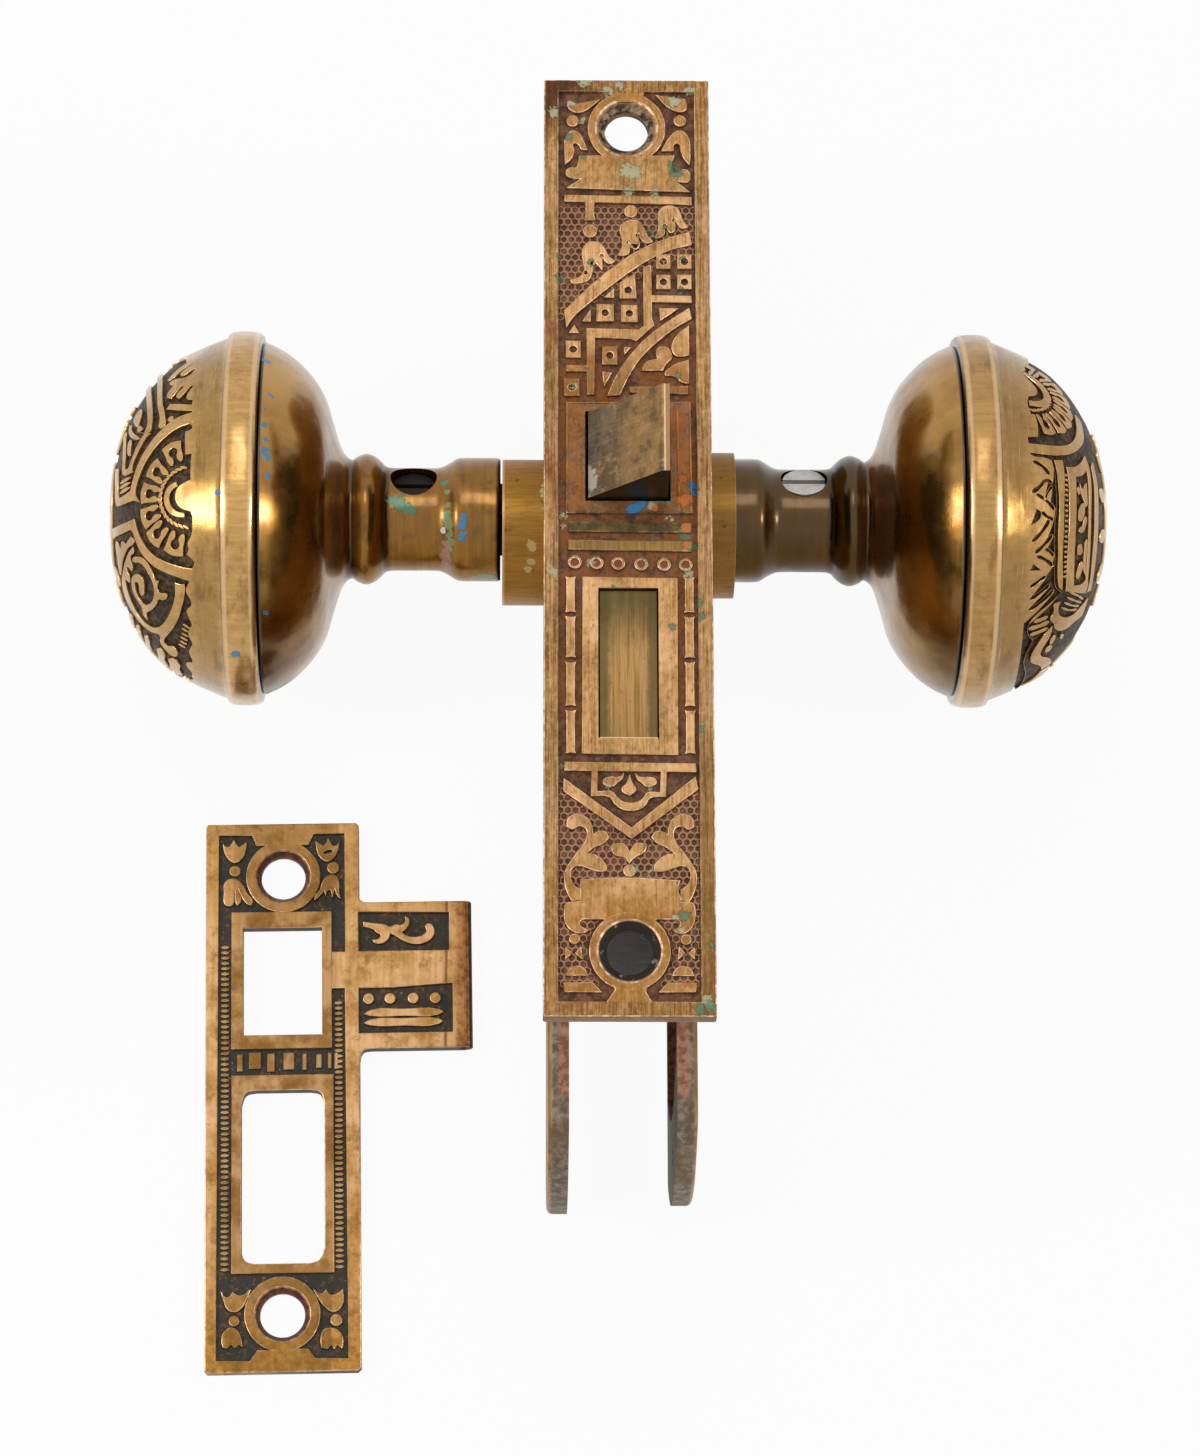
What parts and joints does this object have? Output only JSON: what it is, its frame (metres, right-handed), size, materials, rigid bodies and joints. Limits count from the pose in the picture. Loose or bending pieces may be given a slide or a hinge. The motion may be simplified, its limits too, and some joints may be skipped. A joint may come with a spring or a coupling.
{
  "type": "doorknob lockset",
  "caption": "Antique mortise lockset: ornate cast front with latch and dead bolt, knobs on a spindle through door plates, iron case, and a separate strike plate with a lip.",
  "frame": {"origin": "On the table, under the middle of the lock front, where the rear edge of the case stands.", "axes": "+X along the knob spindle to the right-hand knob, +Y along the lock front to its upper end, +Z out of the front, the way the bolts leave."},
  "size_m": [0.1522, 0.1861, 0.0974],
  "materials": {
    "ornament_bronze": "cast bronze, worn bright on the high points, dark brown in the ground",
    "bolt_bronze": "plain cast bronze, worn and grey brown",
    "brass": "plain",
    "iron": "japanned black",
    "steel": "dull steel",
    "spring_steel": "blued spring steel"
  },
  "bodies": {
    "case": {"faceplate": "ornament_bronze", "front_rivets": "brass", "case_body": "iron", "case_cover": "iron", "cover_screw": "steel", "tumbler_pin": "brass", "latch_spring": "spring_steel", "tumbler_spring": "spring_steel", "left_escutcheon": "ornament_bronze", "right_escutcheon": "ornament_bronze", "strike_plate": "ornament_bronze"},
    "knobs": {"hub": "bolt_bronze", "spindle": "steel", "left_knob_face": "ornament_bronze", "left_knob_shank": "ornament_bronze", "left_set_screw": "steel", "right_knob_face": "ornament_bronze", "right_knob_shank": "ornament_bronze", "right_set_screw": "steel"},
    "latch": {"latch_head": "bolt_bronze", "latch_yoke": "iron", "latch_rivets": "brass"},
    "bolt": {"deadbolt": "bolt_bronze"},
    "lever": {"tumbler": "brass"}
  },
  "joints": [
    {"name": "knob_turn", "type": "hinge", "parent": "case", "child": "knobs", "pos_m": [0, 0.0226, 0.02873], "axis": [1, 0, 0], "range_deg": [0, 55]},
    {"name": "latch_slide", "type": "slide", "parent": "case", "child": "latch", "axis": [0, 0, 1], "range_m": [-0.0115, 0], "stiffness_N_per_m": 200, "springref_m": 0.01, "deforming": ["latch_spring"]},
    {"name": "bolt_slide", "type": "slide", "parent": "case", "child": "bolt", "axis": [0, 0, 1], "range_m": [0, 0.0105]},
    {"name": "tumbler_lift", "type": "hinge", "parent": "case", "child": "lever", "pos_m": [0, -0.004, 0.056], "axis": [1, 0, 0], "range_deg": [0, 4.25], "deforming": ["tumbler_spring"]}
  ],
  "couplings": [
    {"joint": "latch_slide", "follows": "knob_turn", "m_per_rad": -0.01197},
    {"joint": "tumbler_lift", "follows": "bolt_slide", "rad_per_m": 6.98}
  ]
}
